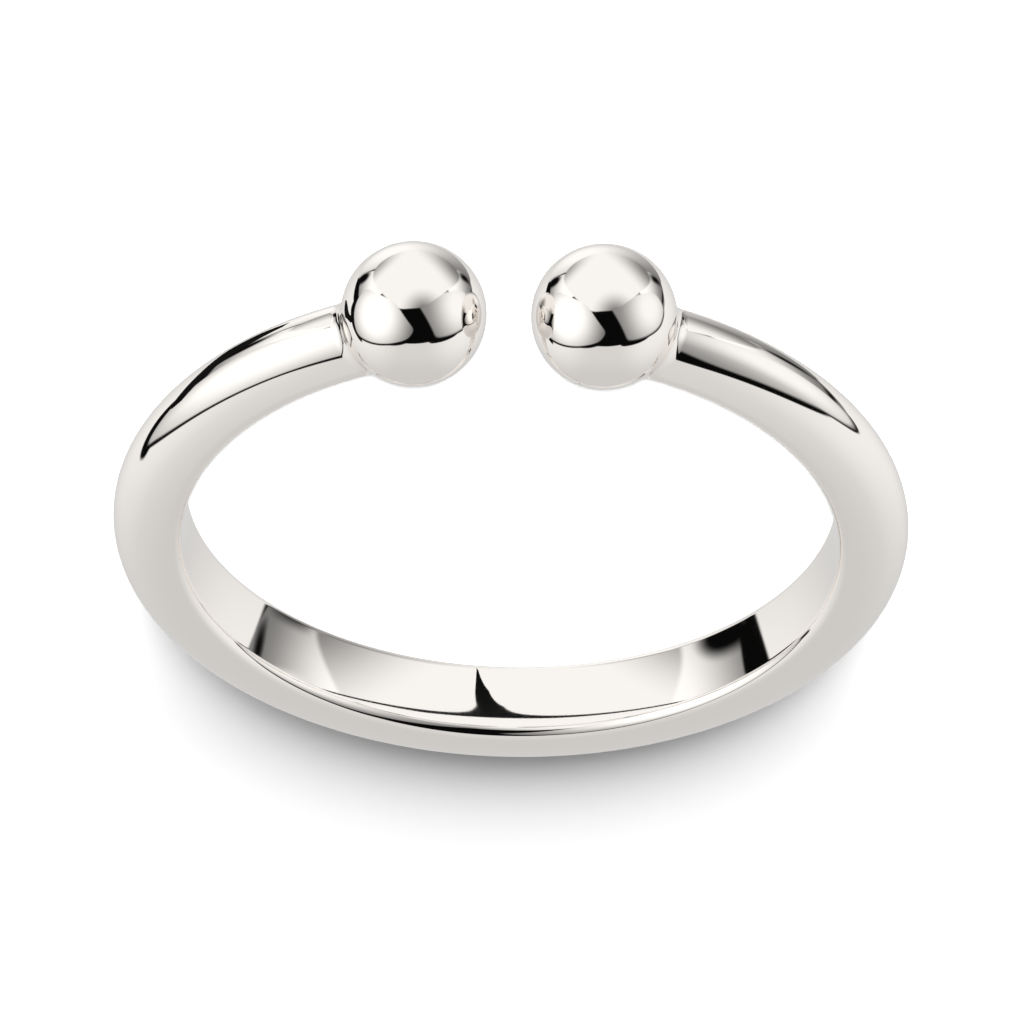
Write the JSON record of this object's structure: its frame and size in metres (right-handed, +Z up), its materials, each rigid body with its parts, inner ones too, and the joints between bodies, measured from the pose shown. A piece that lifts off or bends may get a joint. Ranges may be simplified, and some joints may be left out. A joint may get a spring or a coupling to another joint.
{
  "type": "adjustable open ring",
  "caption": "Adjustable open finger ring: a slim domed band, flat inside, that tapers to a plain polished ball at each end, the balls facing across a small gap.",
  "frame": {"origin": "on the surface that the ring lies on, under the middle of its bounding box", "axes": "+Z up, and within about 2 degrees of the finger's axis, because the ring lies on its balls and on the far rim of its band; -Y towards the opening between the balls; +X across the ring, which is mirror-symmetric in X"},
  "size_m": [0.0212, 0.0222, 0.0036],
  "materials": {
    "polished_silver": "mirror-polished silver, slightly warm, with the faintest hairlines"
  },
  "bodies": {
    "root": {"open_ring": "polished_silver"}
  },
  "joints": []
}
